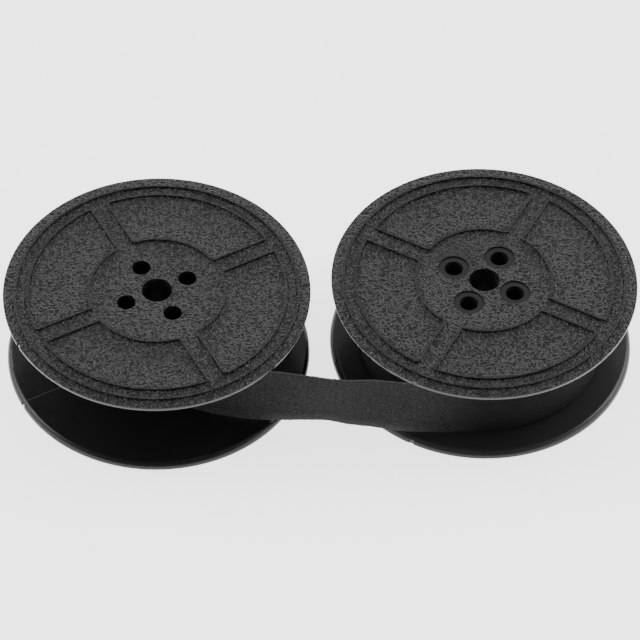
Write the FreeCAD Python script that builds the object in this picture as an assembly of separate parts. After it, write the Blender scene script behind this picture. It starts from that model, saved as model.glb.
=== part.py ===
import FreeCAD, Part
import math
import os

# Twin-spool inked ribbon: two moulded spools, one nearly full and one nearly empty, joined by one woven ribbon.
# Both spools stand on a flange. Their axes are vertical and lie on the X axis, and the origin is midway between
# them on the surface they stand on. The right spool stands on its drive flange, the left one on its cap flange.

# ---- Driving dimensions, in millimetres and degrees ----

SPOOL_GAP = 3.7             # between the rims of the two spools
LEFT_SPOKE_ANGLE = 25.8     # direction of one of the four spokes, from +X
RIGHT_SPOKE_ANGLE = 58.7

FLANGE_RADIUS = 27.2
FLANGE_THICKNESS = 1.3      # of the plain disc, without its beads
OUTER_RIM_ROUND = 0.1
INNER_RIM_ROUND = 1.0
GATE_WIDTH = 1.0            # small flat on the rim, where the moulding's gate was trimmed off
GATE_DEPTH = 0.22
WINDING_GAP = 14.3          # between the two inner faces

BEAD_WIDTH = 0.5            # raised flat-topped lines on the outer face
BEAD_HEIGHT = 0.3
BEAD_DRAFT = 0.05           # how much wider each side of a bead is at its foot
BEAD_EDGE = 0.05            # bevel along the crown's edges
RING_BEAD_RADIUS = 25.07
PANEL_OUTER_RADIUS = 22.91
PANEL_INNER_RADIUS = 12.1
PANEL_CORNER_RADIUS = 0.45
SPOKE_WIDTH = 3.2           # between the bead lines of two neighbouring panels

BORE_RADIUS = 2.7
COLLAR_WALL = 0.9
DRIVE_HOLE_RADIUS = 1.65
DRIVE_CIRCLE_RADIUS = 6.06
POST_RADIUS = 2.7
POST_CLEARANCE = 0.04       # radial, between a post and its socket in the cap flange
POST_RECESS = 0.25          # from the cap's outer face down to a post's end

BARREL_RADIUS = 10.6
BARREL_WALL = 1.2
SLOT_WIDTH = 2.2            # gap in the barrel for the ribbon's end
CLIP_HEAD_WIDTH = 4.0
CLIP_HEAD_DEPTH = 0.8
CLIP_END_GAP = 0.2          # between the clip's top and the cap flange

RIBBON_WIDTH = 12.7
RIBBON_THICKNESS = 0.15
RIBBON_LIFT = 0.4           # from the lower inner face to the ribbon's lower edge
TAIL_THICKNESS = 0.25       # the folded end in the slot
PACK_DEPTH = 11.45          # radial, of the ribbon wound on the right spool
TURNS_DEPTH = 1.05          # radial, of the ribbon wound on the left spool
WINDING_CLEARANCE = 0.05    # between the barrel and the first turn
SPAN_CLEARANCE = 0.12       # between a winding and the free span beside it
LEFT_LEAVE_ANGLE = -109.0   # where the span meets the left turns
RIGHT_LEAVE_ANGLE = -90.0   # where the span leaves the right pack

EYELET_RADIUS = 2.0
EYELET_HOLE_RADIUS = 1.2
EYELET_THICKNESS = 0.6
EYELET_NECK_WALL = 0.25
EYELET_RIM_THICKNESS = 0.2
EYELET_DEPTH = 0.1          # from the first turn's inside to the eyelet
EYELET_CLEARANCE = 0.1

# The free span's bow away from the straight line between its two ends, as (share of the way from the right
# winding, distance towards the front).
SPAN_BOW = [
    (0.134, 1.26),
    (0.239, 1.78),
    (0.326, 1.43),
    (0.411, 1.11),
    (0.510, 1.31),
    (0.600, 2.12),
    (0.695, 2.73),
    (0.782, 2.38),
    (0.858, 1.61),
]

# ---- Values that follow from them ----

BEAD_SINK = 0.1             # how far a bead's root reaches into its flange, so that the two fuse
SPOKE_COUNT = 4
HALF_SPACING = FLANGE_RADIUS + SPOOL_GAP / 2
INNER_FACE = BEAD_HEIGHT + FLANGE_THICKNESS
OVERALL_HEIGHT = 2 * INNER_FACE + WINDING_GAP
BARREL_INSIDE = BARREL_RADIUS - BARREL_WALL
FIRST_TURN_RADIUS = BARREL_RADIUS + WINDING_CLEARANCE
PACK_RADIUS = FIRST_TURN_RADIUS + PACK_DEPTH
TURNS_RADIUS = FIRST_TURN_RADIUS + TURNS_DEPTH
RIBBON_BOTTOM = INNER_FACE + RIBBON_LIFT
SLOT_ANGLE = 180.0 / SPOKE_COUNT        # midway between two spokes
EYELET_ANGLE = SLOT_ANGLE + 180.0

UP = FreeCAD.Vector(0, 0, 1)
ORIGIN = FreeCAD.Vector(0, 0, 0)
X_AXIS = FreeCAD.Vector(1, 0, 0)


def point(x, y, z=0.0):
    return FreeCAD.Vector(x, y, z)


def polar(radius, degrees, z=0.0):
    angle = math.radians(degrees)
    return point(radius * math.cos(angle), radius * math.sin(angle), z)


def cylinder(radius, bottom, top, centre=ORIGIN):
    return Part.makeCylinder(radius, top - bottom, point(centre.x, centre.y, bottom), UP)


def block(x_low, x_high, y_low, y_high, z_low, z_high):
    return Part.makeBox(x_high - x_low, y_high - y_low, z_high - z_low, point(x_low, y_low, z_low))


def turned(shape, degrees):
    """A copy turned about the Z axis."""
    copy = shape.copy()
    copy.rotate(ORIGIN, UP, degrees)
    return copy


# ---- Beads ----


def bead_profile(radius):
    """Section of a bead in the XZ plane. Its crown is at z = 0 and its root is sunk into the flange."""
    shoulder = BEAD_WIDTH / 2
    crown = shoulder - BEAD_EDGE
    foot = shoulder + BEAD_DRAFT
    root = BEAD_HEIGHT + BEAD_SINK
    half = [(foot, root), (foot, BEAD_HEIGHT), (shoulder, BEAD_EDGE), (crown, 0)]
    corners = [point(radius + across, 0, depth) for across, depth in half]
    corners += [point(radius - across, 0, depth) for across, depth in reversed(half)]
    return Part.makePolygon(corners + corners[:1])


def ring_bead():
    return Part.Face(bead_profile(RING_BEAD_RADIUS)).revolve(ORIGIN, UP, 360)


def arc_bead(centre, radius, from_angle, sweep):
    """A bead along part of a circle about centre."""
    section = Part.Face(bead_profile(radius))
    section.rotate(ORIGIN, UP, from_angle)
    section.translate(centre)
    return section.revolve(centre, UP, sweep)


def straight_bead(start, end):
    """A bead along a straight line parallel to the X axis."""
    section = Part.Face(bead_profile(0.0))
    section.rotate(ORIGIN, UP, -90)
    section.translate(start)
    return section.extrude(end - start)


def panel_beads():
    """The outline of the panel between the spokes at 0 and 90 degrees: two arcs, two sides and four round corners."""
    side = SPOKE_WIDTH / 2
    corner = PANEL_CORNER_RADIUS
    inner_x = math.sqrt((PANEL_INNER_RADIUS + corner) ** 2 - (side + corner) ** 2)
    outer_x = math.sqrt((PANEL_OUTER_RADIUS - corner) ** 2 - (side + corner) ** 2)
    inner_centre = point(inner_x, side + corner)
    outer_centre = point(outer_x, side + corner)
    inner_turn = math.degrees(math.atan2(inner_centre.y, inner_centre.x))
    outer_turn = math.degrees(math.atan2(outer_centre.y, outer_centre.x))
    half = [
        straight_bead(point(inner_x, side), point(outer_x, side)),
        arc_bead(outer_centre, corner, -90, 90 + outer_turn),
        arc_bead(inner_centre, corner, 180 + inner_turn, 90 - inner_turn),
        arc_bead(ORIGIN, PANEL_OUTER_RADIUS, outer_turn, 45 - outer_turn),
        arc_bead(ORIGIN, PANEL_INNER_RADIUS, inner_turn, 45 - inner_turn),
    ]
    diagonal_normal = point(1, -1)
    other_half = [bead.mirror(ORIGIN, diagonal_normal) for bead in half]
    return half + other_half


# ---- Flanges. Each is made with its outer face down, its first spoke along +X and its gate's flat at -X ----


def rim_edge(disc, height):
    """The disc's circular edge at a height, in a list for makeFillet."""
    return [edge for edge in disc.Edges if edge.Closed and abs(edge.CenterOfMass.z - height) < 1e-6]


def flange_disc():
    disc = cylinder(FLANGE_RADIUS, BEAD_HEIGHT, INNER_FACE)
    disc = disc.makeFillet(OUTER_RIM_ROUND, rim_edge(disc, BEAD_HEIGHT))
    disc = disc.makeFillet(INNER_RIM_ROUND, rim_edge(disc, INNER_FACE))
    rim_flat = GATE_DEPTH - FLANGE_RADIUS
    disc = disc.cut(block(rim_flat - 1, rim_flat, -GATE_WIDTH / 2, GATE_WIDTH / 2, 0, INNER_FACE))
    beads = [ring_bead()]
    panel = panel_beads()
    for number in range(SPOKE_COUNT):
        beads += [turned(bead, number * 360.0 / SPOKE_COUNT) for bead in panel]
    return disc.fuse(beads).removeSplitter()


def drive_centres():
    return [polar(DRIVE_CIRCLE_RADIUS, number * 360.0 / SPOKE_COUNT) for number in range(SPOKE_COUNT)]


def slot_cutter():
    """The gap in the barrel's wall, from the flange's inner face up."""
    reach = BARREL_RADIUS + 1
    gap = block(0, reach, -SLOT_WIDTH / 2, SLOT_WIDTH / 2, INNER_FACE, OVERALL_HEIGHT)
    return turned(gap, SLOT_ANGLE)


def barrel():
    top = INNER_FACE + WINDING_GAP
    wall = cylinder(BARREL_RADIUS, INNER_FACE - BEAD_SINK, top).cut(cylinder(BARREL_INSIDE, 0, top))
    return wall.cut(slot_cutter())


def drive_flange():
    collar = cylinder(BORE_RADIUS + COLLAR_WALL, INNER_FACE - BEAD_SINK, INNER_FACE + WINDING_GAP)
    posts = [
        cylinder(POST_RADIUS, INNER_FACE - BEAD_SINK, OVERALL_HEIGHT - BEAD_HEIGHT - POST_RECESS, centre)
        for centre in drive_centres()
    ]
    holes = [cylinder(DRIVE_HOLE_RADIUS, 0, OVERALL_HEIGHT, centre) for centre in drive_centres()]
    holes.append(cylinder(BORE_RADIUS, 0, OVERALL_HEIGHT))
    solid = flange_disc().fuse([barrel(), collar] + posts)
    return solid.cut(holes).removeSplitter()


def cap_flange():
    """The cap, turned over so that its outer face is on top of the spool."""
    socket = POST_RADIUS + POST_CLEARANCE
    holes = [cylinder(socket, 0, INNER_FACE, centre) for centre in drive_centres()]
    holes.append(cylinder(BORE_RADIUS, 0, INNER_FACE))
    solid = flange_disc().cut(holes).removeSplitter()
    solid.rotate(point(0, 0, OVERALL_HEIGHT / 2), X_AXIS, 180)
    return solid


def ribbon_clip():
    """T-shaped wedge: its stem fills the barrel's slot beside the ribbon's end, its head bears on the inside."""
    low = INNER_FACE
    high = INNER_FACE + WINDING_GAP - CLIP_END_GAP
    head = block(
        BARREL_INSIDE - 2 * CLIP_HEAD_DEPTH, BARREL_INSIDE + BARREL_WALL,
        -CLIP_HEAD_WIDTH / 2, CLIP_HEAD_WIDTH / 2, low, high,
    )
    head = head.common(cylinder(BARREL_INSIDE, low, high))
    head = head.cut(cylinder(BARREL_INSIDE - CLIP_HEAD_DEPTH, low, high))
    stem = block(
        BARREL_INSIDE - CLIP_HEAD_DEPTH / 2, BARREL_RADIUS + 1,
        -SLOT_WIDTH / 2 + TAIL_THICKNESS, SLOT_WIDTH / 2, low, high,
    )
    stem = stem.common(cylinder(BARREL_RADIUS, low, high))
    return turned(head.fuse(stem).removeSplitter(), SLOT_ANGLE)


# ---- Ribbon ----


def wound_ribbon(outer_radius, bottom):
    """The wound turns as one ring, with the end that goes into the hub's slot and a pocket for the eyelet."""
    top = bottom + RIBBON_WIDTH
    ring = cylinder(outer_radius, bottom, top).cut(cylinder(FIRST_TURN_RADIUS, bottom, top))
    tail = block(
        BARREL_INSIDE, FIRST_TURN_RADIUS + WINDING_CLEARANCE,
        -SLOT_WIDTH / 2, -SLOT_WIDTH / 2 + TAIL_THICKNESS, bottom, top,
    )
    floor = FIRST_TURN_RADIUS + EYELET_DEPTH + EYELET_THICKNESS
    start = point(BARREL_INSIDE, 0, bottom + RIBBON_WIDTH / 2)
    pocket = Part.makeCylinder(EYELET_RADIUS + EYELET_CLEARANCE, floor - BARREL_INSIDE, start, X_AXIS)
    return ring.fuse(turned(tail, SLOT_ANGLE)).cut(turned(pocket, EYELET_ANGLE)).removeSplitter()


def eyelet(ribbon_bottom):
    """A crimped metal ring: a neck with a rim on each face of the ribbon. Its axis is radial."""
    inner = FIRST_TURN_RADIUS + EYELET_DEPTH
    rim = EYELET_RIM_THICKNESS
    start = point(inner, 0, ribbon_bottom + RIBBON_WIDTH / 2)
    body = Part.makeCylinder(EYELET_HOLE_RADIUS + EYELET_NECK_WALL, EYELET_THICKNESS, start, X_AXIS)
    near_rim = Part.makeCylinder(EYELET_RADIUS, rim, start, X_AXIS)
    far_rim = Part.makeCylinder(EYELET_RADIUS, rim, start + X_AXIS * (EYELET_THICKNESS - rim), X_AXIS)
    hole = Part.makeCylinder(EYELET_HOLE_RADIUS, EYELET_THICKNESS, start, X_AXIS)
    ring = body.fuse([near_rim, far_rim]).cut(hole).removeSplitter()
    return turned(ring, EYELET_ANGLE)


def span_side(route, offset):
    """The route moved sideways by offset, as a smooth curve through its own points."""
    points = []
    for knot in route.getPoles():
        parameter = route.parameter(knot)
        along = route.tangent(parameter)[0]
        points.append(route.value(parameter) + point(-along.y, along.x) * offset)
    first = route.tangent(route.FirstParameter)[0]
    last = route.tangent(route.LastParameter)[0]
    side = Part.BSplineCurve()
    side.interpolate(Points=points, InitialTangent=first, FinalTangent=last)
    return side.toShape()


def ribbon_span():
    """The free length between the spools. It leaves each winding along its tangent, a clearance outside it."""
    stand_off = SPAN_CLEARANCE + RIBBON_THICKNESS / 2
    start = point(HALF_SPACING, 0) + polar(PACK_RADIUS + stand_off, RIGHT_LEAVE_ANGLE)
    end = point(-HALF_SPACING, 0) + polar(TURNS_RADIUS + stand_off, LEFT_LEAVE_ANGLE)
    chord = end - start
    front = point(-chord.y, chord.x).normalize()
    points = [start] + [start + chord * share + front * bow for share, bow in SPAN_BOW] + [end]
    route = Part.BSplineCurve()
    route.interpolate(
        Points=points,
        InitialTangent=polar(1, RIGHT_LEAVE_ANGLE - 90),
        FinalTangent=polar(1, LEFT_LEAVE_ANGLE - 90),
    )
    left_side = span_side(route, RIBBON_THICKNESS / 2)
    right_side = span_side(route, -RIBBON_THICKNESS / 2)
    first_end = Part.makeLine(left_side.firstVertex().Point, right_side.firstVertex().Point)
    last_end = Part.makeLine(left_side.lastVertex().Point, right_side.lastVertex().Point)
    outline = Part.Wire(Part.__sortEdges__([left_side, last_end, right_side, first_end]))
    span = Part.Face(outline).extrude(UP * RIBBON_WIDTH)
    span.translate(UP * RIBBON_BOTTOM)
    return span


# ---- Assembly ----


def placed(shape, flipped, spoke_angle, centre_x):
    """A spool piece in its place. A flipped spool stands on its cap flange."""
    solid = shape.Solids[0].copy()
    if flipped:
        solid.rotate(point(0, 0, OVERALL_HEIGHT / 2), X_AXIS, 180)
    solid.rotate(ORIGIN, UP, spoke_angle)
    solid.translate(point(centre_x, 0))
    return solid


def spool(side, flipped, spoke_angle, centre_x, winding_name, winding_radius):
    """Every piece that turns with one spool, by node name."""
    ribbon_bottom = RIBBON_BOTTOM
    if flipped:
        ribbon_bottom = OVERALL_HEIGHT - RIBBON_BOTTOM - RIBBON_WIDTH
    pieces = {
        side + "_drive_flange": drive_flange(),
        side + "_cap_flange": cap_flange(),
        side + "_ribbon_clip": ribbon_clip(),
        side + "_reversing_eyelet": eyelet(ribbon_bottom),
        winding_name: wound_ribbon(winding_radius, ribbon_bottom),
    }
    return {name: placed(shape, flipped, spoke_angle, centre_x) for name, shape in pieces.items()}


def assembly():
    pieces = {"ribbon_span": ribbon_span()}
    pieces.update(spool("left", True, LEFT_SPOKE_ANGLE, -HALF_SPACING, "left_ribbon_turns", TURNS_RADIUS))
    pieces.update(spool("right", False, RIGHT_SPOKE_ANGLE, HALF_SPACING, "right_ribbon_pack", PACK_RADIUS))
    return pieces


os.makedirs("parts", exist_ok=True)
for name, shape in assembly().items():
    print(name, shape.isValid(), "volume", round(shape.Volume, 2))
    shape.exportStep("parts/" + name + ".step")
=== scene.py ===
import math

import bpy
import numpy as np
from mathutils import Matrix, Vector


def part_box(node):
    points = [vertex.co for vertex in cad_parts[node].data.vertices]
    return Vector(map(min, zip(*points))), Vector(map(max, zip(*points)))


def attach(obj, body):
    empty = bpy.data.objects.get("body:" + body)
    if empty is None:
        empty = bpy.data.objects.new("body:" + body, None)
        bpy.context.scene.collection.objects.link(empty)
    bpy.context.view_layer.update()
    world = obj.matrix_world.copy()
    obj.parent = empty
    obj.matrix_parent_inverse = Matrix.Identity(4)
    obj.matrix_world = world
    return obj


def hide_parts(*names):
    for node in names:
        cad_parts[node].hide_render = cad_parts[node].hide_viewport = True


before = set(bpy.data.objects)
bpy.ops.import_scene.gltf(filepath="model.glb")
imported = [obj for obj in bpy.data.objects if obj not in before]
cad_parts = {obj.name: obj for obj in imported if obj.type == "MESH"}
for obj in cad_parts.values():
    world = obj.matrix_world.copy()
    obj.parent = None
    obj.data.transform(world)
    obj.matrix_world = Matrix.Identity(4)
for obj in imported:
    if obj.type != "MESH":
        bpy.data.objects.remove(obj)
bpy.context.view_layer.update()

# ---- Sizes, in metres ----

MM = 0.001

LEFT_PACK_NODE = "left_ribbon_turns"
RIGHT_PACK_NODE = "right_ribbon_pack"
SPAN_NODE = "ribbon_span"

BEAD_HEIGHT = 0.3 * MM
BARREL_RADIUS = 10.6 * MM
BARREL_GAP = 0.06 * MM
RIBBON_THICKNESS = 0.12 * MM
TURN_GROUP = 0.36 * MM      # radial width of one visible layer in a wound pack
SPAN_GAP = 0.02 * MM        # between a winding and the span's feathered ends
SPAN_HUG = math.radians(9)  # how far each end of the span lies along its winding
FEATHER = 0.25              # share of the full thickness at the very end

# The free span's bow away from the straight line between its ends, towards the front.
# Each row: the share of the way from the right pack, then the lower and the upper edge's bow in millimetres.
SPAN_BOW = [
    (0.13, 1.3, 1.3),
    (0.24, 2.1, 1.6),
    (0.33, 1.9, 1.7),
    (0.41, 1.8, 2.4),
    (0.45, 1.5, 2.5),
    (0.51, 1.8, 2.3),
    (0.60, 2.6, 2.1),
    (0.70, 3.0, 2.2),
    (0.78, 2.6, 2.1),
    (0.86, 1.7, 1.5),
]

LEFT_LEAVE_ANGLE = math.radians(-109)
RIGHT_LEAVE_ANGLE = math.radians(-90)
GATE_ANGLE_LEFT = math.radians(-154.2)


def node_centre(node):
    low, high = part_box(node)
    return (low + high) / 2


def node_radius(node):
    low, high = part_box(node)
    return (high.y - low.y) / 2


LEFT_AXIS = node_centre("left_cap_flange")
RIGHT_AXIS = node_centre("right_cap_flange")
TOP_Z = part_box("left_drive_flange")[1].z
RIBBON_LOW, RIBBON_HIGH = (corner.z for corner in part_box(SPAN_NODE))


# ---- Camera, stage and lights ----

CAMERA_PLACE = Vector((-28.554, -415.499, 485.995)) * MM
CAMERA_TARGET = Vector((0.408, 6.60, 0.15)) * MM
CAMERA_ROLL = math.radians(1.14)
CAMERA_LENS = 199.08
SENSOR_WIDTH = 36.0

FLOOR_HALF = 3.0
FLOOR_GLOW = 2.3             # the floor is lit from within, as a light table is, so it shows no shadow

WALL_LIGHT = 2.6             # the studio's brightness round the horizon
CEILING_LIGHT = 0.8          # and overhead
WALL_TOP = 0.25              # heights on a unit sphere between which it changes
CEILING_START = 0.72
DARK_SIDE = (-0.04, -0.72, 0.69)
DARK_EDGE = 0.45             # cosines of the angle from the dark side: where it starts, and where it is full
DARK_CORE = 0.88
DARK_SHARE = 0.08

SIDE_LIGHTS = {"side_light_left": (-1.0, 0.5, 1.1), "side_light_right": (1.0, 0.5, 1.1)}
SIDE_LIGHT_SIZE = 0.8
SIDE_LIGHT_WATTS = 9


def link(obj):
    bpy.context.scene.collection.objects.link(obj)
    return obj


def add_camera():
    data = bpy.data.cameras.new("camera")
    data.lens = CAMERA_LENS
    data.sensor_width = SENSOR_WIDTH
    data.clip_start = 0.05
    data.clip_end = 10
    camera = link(bpy.data.objects.new("camera", data))
    towards = (CAMERA_TARGET - CAMERA_PLACE).to_track_quat("-Z", "Y").to_matrix().to_4x4()
    roll = Matrix.Rotation(CAMERA_ROLL, 4, "Z")
    camera.matrix_world = Matrix.Translation(CAMERA_PLACE) @ towards @ roll
    bpy.context.scene.camera = camera


def add_side_lights():
    """One square softbox on each side, aimed at the object."""
    for name, place in SIDE_LIGHTS.items():
        data = bpy.data.lights.new(name, "AREA")
        data.shape = "RECTANGLE"
        data.size = SIDE_LIGHT_SIZE
        data.size_y = SIDE_LIGHT_SIZE
        data.energy = SIDE_LIGHT_WATTS
        lamp = link(bpy.data.objects.new(name, data))
        lamp.location = place
        lamp.rotation_euler = (-Vector(place)).to_track_quat("-Z", "Y").to_euler()


def add_stage():
    mesh = bpy.data.meshes.new("floor")
    half = FLOOR_HALF
    corners = [(-half, -half, 0), (half, -half, 0), (half, half, 0), (-half, half, 0)]
    mesh.from_pydata(corners, [], [(0, 1, 2, 3)])
    floor = link(bpy.data.objects.new("floor", mesh))
    shader = Shader("floor_paper")
    shader.set("Base Color", (0.93, 0.93, 0.93, 1))
    shader.set("Roughness", 0.8)
    shader.set("Specular IOR Level", 0.1)
    shader.set("Emission Color", (1, 1, 1, 1))
    shader.set("Emission Strength", FLOOR_GLOW)
    mesh.materials.append(shader.material)


def add_world():
    """A white studio: bright round the horizon, dimmer overhead, and dark where the camera stands."""
    world = bpy.data.worlds.new("studio")
    world.use_nodes = True
    tree = world.node_tree

    def node(kind, *values, **settings):
        added = tree.nodes.new(kind)
        for name, value in settings.items():
            setattr(added, name, value)
        for socket, value in zip(added.inputs, values):
            if isinstance(value, bpy.types.NodeSocket):
                tree.links.new(value, socket)
            else:
                socket.default_value = value
        return added

    direction = tree.nodes.new("ShaderNodeTexCoord").outputs["Generated"]
    height = node("ShaderNodeSeparateXYZ", direction).outputs["Z"]
    climb = node(
        "ShaderNodeMapRange", height, WALL_TOP, CEILING_START, WALL_LIGHT, CEILING_LIGHT,
        interpolation_type="SMOOTHSTEP",
    )
    towards = node("ShaderNodeVectorMath", direction, DARK_SIDE, operation="DOT_PRODUCT").outputs["Value"]
    shade = node(
        "ShaderNodeMapRange", towards, DARK_EDGE, DARK_CORE, 1.0, DARK_SHARE, interpolation_type="SMOOTHSTEP"
    )
    light = node("ShaderNodeMath", climb.outputs[0], shade.outputs[0], operation="MULTIPLY").outputs[0]
    tree.links.new(light, tree.nodes["Background"].inputs["Strength"])
    tree.nodes["Background"].inputs["Color"].default_value = (1, 1, 1, 1)
    bpy.context.scene.world = world


# ---- Shader building ----


class Shader:
    """One material and its nodes. Each method that adds a node returns its output socket."""

    def __init__(self, name):
        self.material = bpy.data.materials.new(name)
        self.material.use_nodes = True
        self.tree = self.material.node_tree
        self.surface = self.tree.nodes["Principled BSDF"]

    def set(self, socket, value):
        """A constant on the surface's own socket, or a link from another socket."""
        self.feed(self.surface.inputs[socket], value)

    def feed(self, target, value):
        if isinstance(value, bpy.types.NodeSocket):
            self.tree.links.new(value, target)
        else:
            target.default_value = value

    def place(self):
        return self.tree.nodes.new("ShaderNodeTexCoord").outputs["Object"]

    def uv(self):
        return self.tree.nodes.new("ShaderNodeTexCoord").outputs["UV"]

    def split(self, vector):
        node = self.tree.nodes.new("ShaderNodeSeparateXYZ")
        self.feed(node.inputs[0], vector)
        return node.outputs

    def join(self, x, y, z):
        node = self.tree.nodes.new("ShaderNodeCombineXYZ")
        for target, value in zip(node.inputs, (x, y, z)):
            self.feed(target, value)
        return node.outputs[0]

    def math(self, operation, a, b=0.0, c=0.0):
        node = self.tree.nodes.new("ShaderNodeMath")
        node.operation = operation
        for target, value in zip(node.inputs, (a, b, c)):
            self.feed(target, value)
        return node.outputs[0]

    def ease(self, value, low, high, from_value=0.0, to_value=1.0):
        """A smooth step from from_value at low to to_value at high."""
        node = self.tree.nodes.new("ShaderNodeMapRange")
        node.interpolation_type = "SMOOTHSTEP"
        for target, entry in zip(node.inputs, (value, low, high, from_value, to_value)):
            self.feed(target, entry)
        return node.outputs[0]

    def noise(self, vector, per_mm, detail=1.0, roughness=0.5, distortion=0.0):
        node = self.tree.nodes.new("ShaderNodeTexNoise")
        self.feed(node.inputs["Vector"], vector)
        node.inputs["Scale"].default_value = per_mm / MM
        node.inputs["Detail"].default_value = detail
        node.inputs["Roughness"].default_value = roughness
        node.inputs["Distortion"].default_value = distortion
        return node.outputs["Fac"]

    def specks(self, vector, cell_mm, share, radius_mm):
        """1 on small round specks, in a share of the cells of that size."""
        node = self.tree.nodes.new("ShaderNodeTexVoronoi")
        self.feed(node.inputs["Vector"], vector)
        node.inputs["Scale"].default_value = 1 / (cell_mm * MM)
        inside = self.math("LESS_THAN", node.outputs["Distance"], radius_mm / cell_mm)
        chosen = self.math("LESS_THAN", self.split(node.outputs["Color"])[0], share)
        return self.math("MULTIPLY", inside, chosen)

    def distance(self, x, y, centre):
        """How far (x, y) is from a centre in plan."""
        away_x = self.math("SUBTRACT", x, centre[0])
        away_y = self.math("SUBTRACT", y, centre[1])
        squares = self.math("POWER", away_x, 2.0), self.math("POWER", away_y, 2.0)
        return self.math("SQRT", self.math("ADD", *squares))

    def along(self, x, y, centre, angle):
        """How far (x, y) lies from a centre in the direction of an angle in plan."""
        across = self.math("MULTIPLY", self.math("SUBTRACT", x, centre[0]), math.cos(angle))
        ahead = self.math("MULTIPLY", self.math("SUBTRACT", y, centre[1]), math.sin(angle))
        return self.math("ADD", across, ahead)

    def bump(self, height, distance, strength=1.0, under=None):
        node = self.tree.nodes.new("ShaderNodeBump")
        self.feed(node.inputs["Height"], height)
        node.inputs["Distance"].default_value = distance
        node.inputs["Strength"].default_value = strength
        if under is not None:
            self.tree.links.new(under, node.inputs["Normal"])
        return node.outputs["Normal"]


# ---- Materials ----

PLASTIC_GLOSS = 0.32
PLASTIC_DARK = 0.0035
PLASTIC_LIGHT = 0.0050
RIDGE_HIGHLIGHT_GREY = 0.020           # painted highlight: how much paler the grain's ridges are painted than its grooves
RIDGE_SPREAD = 0.15          # the painted highlight along each ridge is narrower than the ridge itself
RIDGE_MEAN = 0.45            # share of the painted ridge highlight's tone where there is no grain to carry it
DUST_GREY = 0.35
WELD_GREY = 0.055            # the weld line's paleness, as a share of the dust's
WELD_ROUGHNESS = 0.25

GRAIN_PER_MM = 1.6
GRAIN_CURL = 0.5
GRAIN_SPREAD = 0.18
GRAIN_DEPTH = 0.16 * MM
LEATHER_MEAN = 0.75          # so that the grain has no step where it fades out
BEAD_GRAIN = 0.25            # how much of the grain the beads carry
POLISH_DEPTH = 0.006 * MM

OUTER_ROUGHNESS = (0.20, 0.28)
INNER_ROUGHNESS = (0.16, 0.24)
INNER_TOP = -0.7 * MM        # the smooth inner surfaces start this far below the outer face
INNER_FULL = -1.2 * MM
POST_END_DEPTH = 2 * BEAD_HEIGHT + 0.5 * MM - TOP_Z    # deeper than this, a surface is a post's end
POST_END_BLEND = 0.1 * MM

PATCH_INNER = 4.0 * MM       # the polished patch's radius, and where the grain is whole again
PATCH_OUTER = 8.5 * MM
PATCH_GRAIN = 0.3
HUB_PATCH_OFFSET = Vector((-4.5, 5.5, 0)) * MM


def leather_grain(shader, place, grained, depth):
    """The moulded grain: how far each point is from a ridge, and the surface normal."""
    folds = shader.noise(place, GRAIN_PER_MM, 0.0, 0.5, GRAIN_CURL)
    off_ridge = shader.math("ABSOLUTE", shader.math("SUBTRACT", folds, 0.5))
    ridges = shader.ease(off_ridge, 0.0, GRAIN_SPREAD, 1.0, 0.0)
    lumps = shader.noise(place, 2.1 * GRAIN_PER_MM, 0.0)
    leather = shader.math("ADD", ridges, shader.math("MULTIPLY", lumps, 0.6))
    leather = shader.math("MULTIPLY", shader.math("SUBTRACT", leather, LEATHER_MEAN), grained)
    return off_ridge, shader.bump(leather, depth)


def weld_line(shader, place, x, y, centre, angle):
    """1 on a fine, slightly wavy radial line, where the moulding's two flows met."""
    wobble = shader.math("MULTIPLY", shader.math("SUBTRACT", shader.noise(place, 0.25), 0.5), 0.5 * MM)
    sideways = shader.along(x, y, centre, angle + math.pi / 2)
    offset = shader.math("ABSOLUTE", shader.math("ADD", sideways, wobble))
    line = shader.ease(offset, 0.05 * MM, 0.13 * MM, 1.0, 0.0)
    return shader.math("MULTIPLY", line, shader.ease(shader.along(x, y, centre, angle), 12 * MM, 16 * MM))


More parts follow.
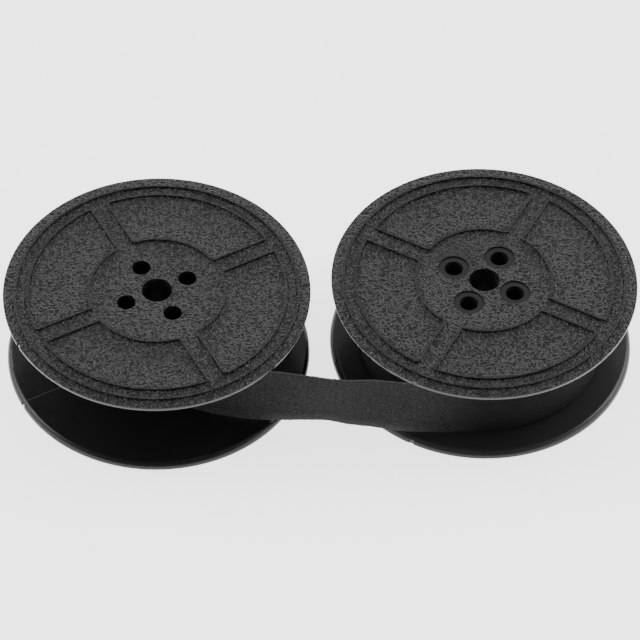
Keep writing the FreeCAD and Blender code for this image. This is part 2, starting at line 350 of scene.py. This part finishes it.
def moulded_plastic(name, outward, grain, inner_painted_light, worn_at=None, weld_axis=None, weld_angle=0.0):
    """Black moulded plastic. The outer face has a leather grain, fainter on its beads. The rest is smooth.
    The grain's ridges carry a painted highlight.

    outward is 1 if the outer face faces up or -1 if it faces down. grain is the grain's depth, as a share of
    the usual, and inner_painted_light the painted light added to the smooth inner surfaces' tone. worn_at is
    a place where the grain is nearly polished away. weld_axis and weld_angle place a weld line on the inner
    face."""
    shader = Shader(name)
    place = shader.place()
    x, y, z = shader.split(place)
    outer_face_z = TOP_Z - BEAD_HEIGHT if outward == 1 else BEAD_HEIGHT
    height = shader.math("MULTIPLY", shader.math("SUBTRACT", z, outer_face_z), outward)
    above = shader.ease(height, -0.04 * MM, -0.01 * MM)
    below_bead = shader.ease(height, 0.01 * MM, 0.03 * MM, 1.0, BEAD_GRAIN)
    grained = shader.math("MULTIPLY", above, below_bead)
    patchy = shader.ease(shader.noise(place, 0.09, 2.0), 0.35, 0.6, 0.75, 1.0)
    grained = shader.math("MULTIPLY", grained, patchy)
    if worn_at is not None:
        reach = shader.distance(x, y, worn_at)
        edge = shader.math("ADD", reach, shader.math("MULTIPLY", shader.noise(place, 0.35, 2.0), 4 * MM))
        worn = shader.ease(edge, PATCH_INNER, PATCH_OUTER, PATCH_GRAIN, 1.0)
        grained = shader.math("MULTIPLY", grained, worn)

    off_ridge, normal = leather_grain(shader, place, grained, GRAIN_DEPTH * grain)
    polish = shader.noise(place, 0.6, 3.0)
    shader.set("Normal", shader.bump(polish, POLISH_DEPTH, 1.0, normal))

    inside = shader.ease(height, INNER_FULL, INNER_TOP, 1.0, 0.0)
    post_end = shader.ease(
        height, POST_END_DEPTH - POST_END_BLEND, POST_END_DEPTH + POST_END_BLEND, 1.0, 0.0
    )
    inside = shader.math("MULTIPLY", inside, shader.math("SUBTRACT", 1.0, post_end))
    outer_rough = shader.ease(polish, 0.3, 0.7, *OUTER_ROUGHNESS)
    inner_rough = shader.ease(polish, 0.3, 0.7, *INNER_ROUGHNESS)
    swap = shader.math("MULTIPLY", inside, shader.math("SUBTRACT", inner_rough, outer_rough))
    rough = shader.math("ADD", outer_rough, swap)

    dust = shader.specks(place, 2.6, 0.10, 0.09)
    scuffs = shader.specks(place, 1.3, 0.05, 0.05)
    marks = shader.math("MAXIMUM", dust, scuffs)
    if weld_axis is not None:
        line = shader.math("MULTIPLY", weld_line(shader, place, x, y, weld_axis, weld_angle), inside)
        marks = shader.math("MAXIMUM", marks, shader.math("MULTIPLY", line, WELD_GREY))
        rough = shader.math("ADD", rough, shader.math("MULTIPLY", line, WELD_ROUGHNESS))
    shader.set("Roughness", rough)

    tone = shader.ease(shader.noise(place, 0.2, 3.0), 0.3, 0.7, PLASTIC_DARK, PLASTIC_LIGHT)
    # painted light: the smooth inner surfaces, hole walls and rims get a per-flange painted lift of their
    # tone
    tone = shader.math("ADD", tone, shader.math("MULTIPLY", inside, inner_painted_light))
    # painted highlight: the grain's ridges are painted paler, standing for the light they catch
    line_share = shader.math("SUBTRACT", shader.ease(off_ridge, 0.0, RIDGE_SPREAD, 1.0, 0.0), RIDGE_MEAN)
    ridge_highlight = shader.math("ADD", shader.math("MULTIPLY", line_share, grained), RIDGE_MEAN)
    tone = shader.math("ADD", tone, shader.math("MULTIPLY", ridge_highlight, RIDGE_HIGHLIGHT_GREY))
    grey = shader.math("ADD", tone, shader.math("MULTIPLY", marks, DUST_GREY))
    shader.set("Base Color", shader.join(grey, grey, grey))
    shader.set("Specular IOR Level", PLASTIC_GLOSS)
    return shader.material


THREAD = 0.24                # millimetres between neighbouring threads
RIBBON_DARK = 0.004
RIBBON_LIGHT = 0.036
LOWER_EDGE_PALENESS = 0.45             # how much paler the free span gets down to its lower edge
LOWER_EDGE_HEIGHT = 2.4 * MM
RIBBON_GLOSS = 0.08
WOUND_PAINTED_SHADE = 0.12           # painted shade: the wound turns' tone, as a share of the free span's
SHADED_SPAN_LENGTH = 18.0 * MM     # of the span next to the full spool, over which the wound turns' painted shade fades out


def inked_weave(name, width, dark, light, gloss, painted_shade_length=0.0):
    """Plain-woven ribbon soaked in black ink. Its UV map holds length and height above the edge, in metres.
    Both selvedges carry a painted highlight.

    Where painted_shade_length is given, the ribbon keeps the wound turns' painted shade near its start,
    fading out over that length, and it gets paler down to its lower edge."""
    shader = Shader(name)
    along, up, _ = shader.split(shader.uv())
    turn = math.pi / (THREAD * MM)
    warp = shader.math("SINE", shader.math("MULTIPLY", up, turn))
    weft = shader.math("SINE", shader.math("MULTIPLY", along, turn))
    weave = shader.math("MULTIPLY", warp, weft)
    place = shader.place()
    drawn_out = shader.join(shader.math("MULTIPLY", along, 0.35), up, 0.0)
    slub = shader.noise(drawn_out, 2.4, 2.0, 0.6)
    fibre = shader.noise(place, 6.0, 2.0, 0.7)
    cloth = shader.math("ADD", shader.math("MULTIPLY", weave, 0.5), shader.math("MULTIPLY", slub, 0.9))
    cloth = shader.math("ADD", cloth, shader.math("MULTIPLY", fibre, 0.5))
    shader.set("Normal", shader.bump(cloth, 0.03 * MM))
    middle = shader.math("ABSOLUTE", shader.math("SUBTRACT", up, width / 2))
    # painted highlight: both selvedges are painted paler
    selvedge_highlight = shader.ease(middle, width / 2 - 0.45 * MM, width / 2 - 0.1 * MM)
    ink = shader.ease(shader.noise(place, 0.35, 3.0, 0.6), 0.3, 0.7)
    speckle = shader.ease(shader.noise(place, 5.0, 1.0), 0.3, 0.7)
    tone = shader.math("ADD", shader.math("MULTIPLY", ink, 0.15), shader.math("MULTIPLY", speckle, 0.7))
    tone = shader.math("ADD", tone, shader.math("MULTIPLY", selvedge_highlight, 0.6))
    if painted_shade_length > 0:
        # the span gets paler down to its lower edge
        tone = shader.math("ADD", tone, shader.ease(up, 0.0, LOWER_EDGE_HEIGHT, LOWER_EDGE_PALENESS, 0.0))
    grey = shader.ease(tone, 0.0, 1.2, dark, light)
    if painted_shade_length > 0:
        # painted shade: near the full spool the span keeps the wound turns' darker tone, fading out along it
        span_shade = shader.ease(along, 0.15 * painted_shade_length, painted_shade_length, WOUND_PAINTED_SHADE, 1.0)
        grey = shader.math("MULTIPLY", grey, span_shade)
    shader.set("Base Color", shader.join(grey, grey, grey))
    shader.set("Roughness", shader.ease(ink, 0.0, 1.0, 0.72, 0.85))
    shader.set("Specular IOR Level", gloss)
    shader.set("Sheen Weight", gloss / 3)
    shader.set("Sheen Roughness", 0.5)
    return shader.material


def brass(name):
    """Stamped brass, dulled by ink."""
    shader = Shader(name)
    place = shader.place()
    stain = shader.ease(shader.noise(place, 1.1, 3.0), 0.4, 0.65)
    node = shader.tree.nodes.new("ShaderNodeMix")
    node.data_type = "RGBA"
    shader.feed(node.inputs["Factor"], stain)
    node.inputs["A"].default_value = (0.60, 0.44, 0.20, 1)
    node.inputs["B"].default_value = (0.14, 0.10, 0.06, 1)
    shader.set("Base Color", node.outputs["Result"])
    shader.set("Metallic", 1.0)
    shader.set("Roughness", shader.ease(stain, 0.0, 1.0, 0.28, 0.55))
    shader.set("Normal", shader.bump(shader.noise(place, 5.0, 2.0), 0.01 * MM))
    return shader.material


def plain_plastic(name):
    """The clip's own moulding: satin black with faint flow marks."""
    shader = Shader(name)
    place = shader.place()
    flow = shader.noise(place, 0.8, 3.0, 0.6, 0.8)
    grey = shader.ease(flow, 0.3, 0.7, 0.008, 0.016)
    shader.set("Base Color", shader.join(grey, grey, grey))
    shader.set("Roughness", shader.ease(flow, 0.3, 0.7, 0.35, 0.5))
    shader.set("Normal", shader.bump(flow, 0.01 * MM))
    return shader.material


def dress_cad_nodes():
    """Better materials for the CAD pieces that stay visible."""
    hub_patch = RIGHT_AXIS + HUB_PATCH_OFFSET
    # the last number for each flange is the painted light added to its smooth inner surfaces
    faces = {
        "left_drive_flange": moulded_plastic("grained_plastic_left_top", 1, 1.0, 0.004),
        "left_cap_flange": moulded_plastic(
            "grained_plastic_left_bottom", -1, 0.9, 0.0, weld_axis=LEFT_AXIS, weld_angle=GATE_ANGLE_LEFT
        ),
        "right_cap_flange": moulded_plastic("grained_plastic_right_top", 1, 0.8, 0.004, worn_at=hub_patch),
        "right_drive_flange": moulded_plastic("grained_plastic_right_bottom", -1, 0.9, 0.017),
    }
    clip = plain_plastic("clip_plastic_black")
    metal = brass("eyelet_brass")
    for side in ("left", "right"):
        faces[side + "_ribbon_clip"] = clip
        faces[side + "_reversing_eyelet"] = metal
    for node, material in faces.items():
        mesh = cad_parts[node].data
        for slot in range(len(mesh.materials)):
            mesh.materials[slot] = material


# ---- Ribbon ----


def ribbon_mesh(name, rings, uvs, closed_section, closed_loop, material):
    """A mesh from rows of points: rings[i][j] is point j of section i.

    uvs has one more column, for the seam of the section, and one more row where the loop is closed."""
    count = len(rings)
    width = len(rings[0])
    vertices = [tuple(p) for ring in rings for p in ring]
    faces = []
    corner_uvs = []
    for i in range(count if closed_loop else count - 1):
        after = (i + 1) % count
        for j in range(width if closed_section else width - 1):
            beside = (j + 1) % width
            faces.append((i * width + j, after * width + j, after * width + beside, i * width + beside))
            next_uv = uvs[i + 1] if closed_loop else uvs[after]
            corner_uvs += [uvs[i][j], next_uv[j], next_uv[j + 1], uvs[i][j + 1]]
    if closed_section and not closed_loop:
        faces.append(tuple(range(width)))
        corner_uvs += [uvs[0][j] for j in range(width)]
        last = (count - 1) * width
        faces.append(tuple(last + j for j in reversed(range(width))))
        corner_uvs += [uvs[-1][j] for j in reversed(range(width))]
    mesh = bpy.data.meshes.new(name)
    mesh.from_pydata(vertices, [], faces)
    layer = mesh.uv_layers.new(name="cloth")
    layer.data.foreach_set("uv", [value for uv in corner_uvs for value in uv])
    mesh.materials.append(material)
    mesh.shade_smooth()
    mesh.set_sharp_from_angle(angle=math.radians(50))
    mesh.validate()
    return link(bpy.data.objects.new(name, mesh))


def wound_pack(name, axis, inner_radius, outer_radius, material, seed):
    """The turns on one spool: a ring whose two end faces show the layers, each a little proud of the next."""
    draws = np.random.default_rng(seed)
    groups = max(2, round((outer_radius - inner_radius) / TURN_GROUP))
    edges = np.linspace(inner_radius, outer_radius, groups + 1)
    proud = draws.normal(0, 0.05 * MM, groups)
    sway = draws.uniform(0.01, 0.05, groups) * MM
    phase = draws.uniform(0, 2 * math.pi, groups)
    steps = 220
    groove = 0.03 * MM
    rings = []
    uvs = []
    for step in range(steps + 1):
        angle = 2 * math.pi * step / steps
        section = []
        marks = []
        for side, level in ((1, RIBBON_HIGH), (-1, RIBBON_LOW)):
            order = range(groups) if side == 1 else reversed(range(groups))
            for group in order:
                wave = sway[group] * math.sin(angle + phase[group])
                crest = level + side * (proud[group] + wave - 0.06 * MM)
                near, far = edges[group], edges[group + 1]
                if side == -1:
                    near, far = far, near
                inset = groove * (1 if far > near else -1)
                for radius, lift in ((near + inset, -2 * groove), (near + 2.5 * inset, 0.0),
                                     (far - 2.5 * inset, 0.0), (far - inset, -2 * groove)):
                    section.append((radius, crest + side * lift))
                    marks.append(crest + side * lift - RIBBON_LOW)
        ring = [
            (axis.x + radius * math.cos(angle), axis.y + radius * math.sin(angle), z) for radius, z in section
        ]
        rings.append(ring)
        uvs.append([(angle * outer_radius, mark) for mark in marks] + [(angle * outer_radius, marks[0])])
    return ribbon_mesh(name, rings[:-1], uvs, True, True, material)


def hermite(shares, values, first_slope, last_slope, samples):
    """A smooth curve through (share, value) points with a given slope at each end, read at the samples."""
    shares = np.array(shares)
    values = np.array(values)
    slopes = np.gradient(values, shares)
    slopes[0] = first_slope
    slopes[-1] = last_slope
    span = np.clip(np.searchsorted(shares, samples) - 1, 0, len(shares) - 2)
    width = shares[span + 1] - shares[span]
    t = (samples - shares[span]) / width
    return (
        (2 * t**3 - 3 * t**2 + 1) * values[span]
        + (t**3 - 2 * t**2 + t) * width * slopes[span]
        + (3 * t**2 - 2 * t**3) * values[span + 1]
        + (t**3 - t**2) * width * slopes[span + 1]
    )


def hug(axis, radius, angles, starting):
    """An end of the span along its winding, with its thickness at each point: (plan points, thicknesses)."""
    share = np.linspace(0, 1, len(angles))
    if not starting:
        share = share[::-1]
    thickness = RIBBON_THICKNESS * (FEATHER + (1 - FEATHER) * share)
    r = radius + SPAN_GAP + thickness / 2
    return np.stack([axis.x + r * np.cos(angles), axis.y + r * np.sin(angles)], 1), thickness


def free_route(start, end, start_way, end_way, bows):
    """The free part of one edge, from the right pack to the left turns, in plan."""
    chord = end - start
    length = np.linalg.norm(chord)
    along = chord / length
    front = np.array([-along[1], along[0]])
    shares = [0.0] + [row[0] for row in bows] + [1.0]
    values = [0.0] + [row[1] * MM for row in bows] + [0.0]
    slope_in = (start_way @ front) / (start_way @ along) * length
    slope_out = (end_way @ front) / (end_way @ along) * length
    samples = np.linspace(0, 1, 190)
    bow = hermite(shares, values, slope_in, slope_out, samples)
    return start + np.outer(samples, chord) + np.outer(bow, front)


def span_edge(column):
    """The whole route of the lower or upper edge in plan, and the thickness at each of its points."""
    steps = 16
    right_angles = RIGHT_LEAVE_ANGLE + np.linspace(SPAN_HUG, 0, steps)
    left_angles = LEFT_LEAVE_ANGLE - np.linspace(0, SPAN_HUG, steps)
    right, right_thickness = hug(RIGHT_AXIS, node_radius(RIGHT_PACK_NODE), right_angles, True)
    left, left_thickness = hug(LEFT_AXIS, node_radius(LEFT_PACK_NODE), left_angles, False)
    way_in = np.array([math.sin(RIGHT_LEAVE_ANGLE), -math.cos(RIGHT_LEAVE_ANGLE)])
    way_out = np.array([math.sin(LEFT_LEAVE_ANGLE), -math.cos(LEFT_LEAVE_ANGLE)])
    bows = [(row[0], row[column]) for row in SPAN_BOW]
    free = free_route(right[-1], left[0], way_in, way_out, bows)[1:-1]
    thickness = np.concatenate([right_thickness, np.full(len(free), RIBBON_THICKNESS), left_thickness])
    return np.concatenate([right, free, left]), thickness


def ribbon_span(material):
    """The free ribbon as one thin closed strip with uneven selvedges. Each edge follows its own route."""
    low_edge, thickness = span_edge(1)
    high_edge, _ = span_edge(2)
    middle = (low_edge + high_edge) / 2
    steps = np.linalg.norm(np.diff(middle, axis=0), axis=1)
    length = np.concatenate([[0], np.cumsum(steps)])
    tangent = np.gradient(middle, axis=0)
    tangent /= np.linalg.norm(tangent, axis=1)[:, None]
    normal = np.stack([-tangent[:, 1], tangent[:, 0]], 1)
    rows = 18
    width = RIBBON_HIGH - RIBBON_LOW
    draws = np.random.default_rng(11)
    loops = draws.normal(0, 0.035 * MM, (len(middle), 2))
    rings = []
    uvs = []
    for i in range(len(middle)):
        ring = []
        marks = []
        for side in (1, -1):
            order = range(rows + 1) if side == 1 else reversed(range(rows + 1))
            for row in order:
                share = row / rows
                eased = share * share * (3 - 2 * share)
                plan = low_edge[i] * (1 - eased) + high_edge[i] * eased
                edge = min(share, 1 - share)
                half = thickness[i] / 2 * min(1.0, 0.45 + edge * 9)
                z = RIBBON_LOW + width * share
                if row == 0:
                    z += loops[i][0]
                if row == rows:
                    z += loops[i][1]
                spot = plan + normal[i] * half * side
                ring.append((spot[0], spot[1], z))
                marks.append((length[i], z - RIBBON_LOW))
        rings.append(ring)
        uvs.append(marks + [marks[0]])
    return ribbon_mesh("ribbon_strip", rings, uvs, True, False, material), length[-1]


def build_ribbon():
    """The turns on each spool, each riding on it, and the free span between them."""
    width = RIBBON_HIGH - RIBBON_LOW
    # the wound turns are a darker, painted-shade copy of the free span's ribbon
    wound = inked_weave(
        "inked_weave_wound_painted_shade", width, WOUND_PAINTED_SHADE * RIBBON_DARK, WOUND_PAINTED_SHADE * RIBBON_LIGHT, RIBBON_GLOSS
    )
    free = inked_weave("inked_weave_free", width, RIBBON_DARK, RIBBON_LIGHT, RIBBON_GLOSS, SHADED_SPAN_LENGTH)
    inner = BARREL_RADIUS + BARREL_GAP
    for side, axis, node, seed in (
        ("right", RIGHT_AXIS, RIGHT_PACK_NODE, 3),
        ("left", LEFT_AXIS, LEFT_PACK_NODE, 5),
    ):
        turns = wound_pack(side + "_wound_ribbon", axis, inner, node_radius(node), wound, seed)
        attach(turns, side + "_spool")
        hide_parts(node)
    strip, length = ribbon_span(free)
    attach(strip, "free_ribbon")
    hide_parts(SPAN_NODE)


add_camera()
add_stage()
add_world()
add_side_lights()
dress_cad_nodes()
build_ribbon()
